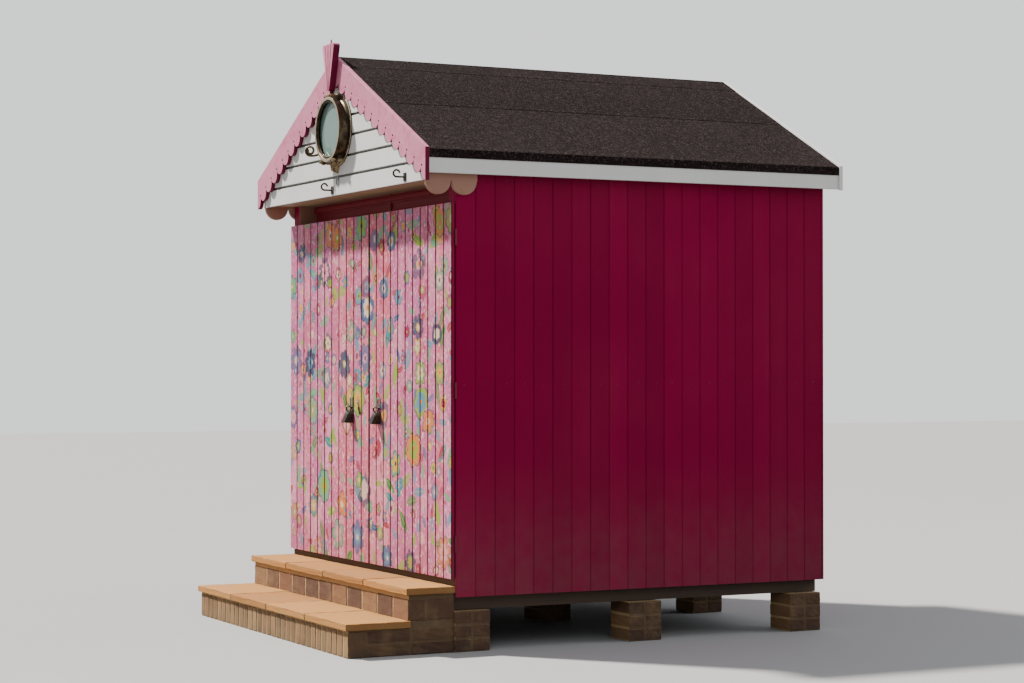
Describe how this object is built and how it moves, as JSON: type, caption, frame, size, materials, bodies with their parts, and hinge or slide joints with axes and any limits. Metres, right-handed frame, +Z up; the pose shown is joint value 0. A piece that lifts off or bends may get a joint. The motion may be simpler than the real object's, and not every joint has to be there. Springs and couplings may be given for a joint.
{
  "type": "beach hut",
  "caption": "Seaside beach hut with a pair of painted board doors, a scalloped gable, a brass porthole and brick steps.",
  "frame": {"origin": "on the ground, under the middle of the box that holds the hut and its steps", "axes": "+Z up, -Y towards the front with the doors and steps, +X towards the right as seen from the front"},
  "size_m": [2.6, 3.147, 3.4918],
  "materials": {
    "brick": "fired clay in mortar",
    "slab_stone": "sawn face",
    "frame_timber": "sawn",
    "crimson_paint": "weathered gloss",
    "white_paint": "satin paint",
    "cream_paint": "satin paint",
    "pink_paint": "satin paint",
    "door_paint": "satin paint",
    "roof_timber": "sawn",
    "roof_felt": "mineral grit",
    "galvanised_steel": "dull zinc",
    "black_iron": "black paint",
    "aged_brass": "dark patina",
    "sea_glass": "polished"
  },
  "bodies": {
    "hut": {"brick_piers": "brick", "lower_step_bricks": "brick", "upper_step_bricks": "brick", "step_slabs": "slab_stone", "floor_bearers": "frame_timber", "floor_joists": "frame_timber", "floor_deck": "frame_timber", "threshold": "frame_timber", "wall_studs": "frame_timber", "side_wall_plates": "frame_timber", "rear_wall_plates": "frame_timber", "rafters": "frame_timber", "ridge_board": "frame_timber", "gable_tie": "frame_timber", "front_posts": "crimson_paint", "head_rail": "crimson_paint", "header_panel": "crimson_paint", "left_wall_cladding": "crimson_paint", "right_wall_cladding": "crimson_paint", "rear_wall_cladding": "crimson_paint", "gable_panel": "white_paint", "eaves_fascias": "white_paint", "rear_bargeboards": "white_paint", "gable_soffit": "cream_paint", "return_boards": "cream_paint", "left_bargeboard": "pink_paint", "right_bargeboard": "pink_paint", "finial": "pink_paint", "left_roof_boards": "roof_timber", "right_roof_boards": "roof_timber", "left_roof_felt": "roof_felt", "right_roof_felt": "roof_felt", "ridge_felt": "roof_felt", "post_hinges": "galvanised_steel", "gable_hooks": "black_iron", "porthole_flange": "aged_brass", "porthole_ring": "aged_brass", "porthole_fittings": "aged_brass", "porthole_glass": "sea_glass"},
    "left_door": {"left_door_boards": "door_paint", "left_door_ledges": "frame_timber", "left_door_hinges": "galvanised_steel", "left_door_lock": "black_iron"},
    "right_door": {"right_door_boards": "door_paint", "right_door_ledges": "frame_timber", "right_door_hinges": "galvanised_steel", "right_door_lock": "black_iron"}
  },
  "joints": [
    {"name": "left_door_hinge", "type": "hinge", "parent": "hut", "child": "left_door", "pos_m": [-1.226, -0.9285, 1.43], "axis": [0, 0, -1], "range_deg": [0, 105]},
    {"name": "right_door_hinge", "type": "hinge", "parent": "hut", "child": "right_door", "pos_m": [1.226, -0.9285, 1.43], "axis": [0, 0, 1], "range_deg": [0, 105]}
  ]
}
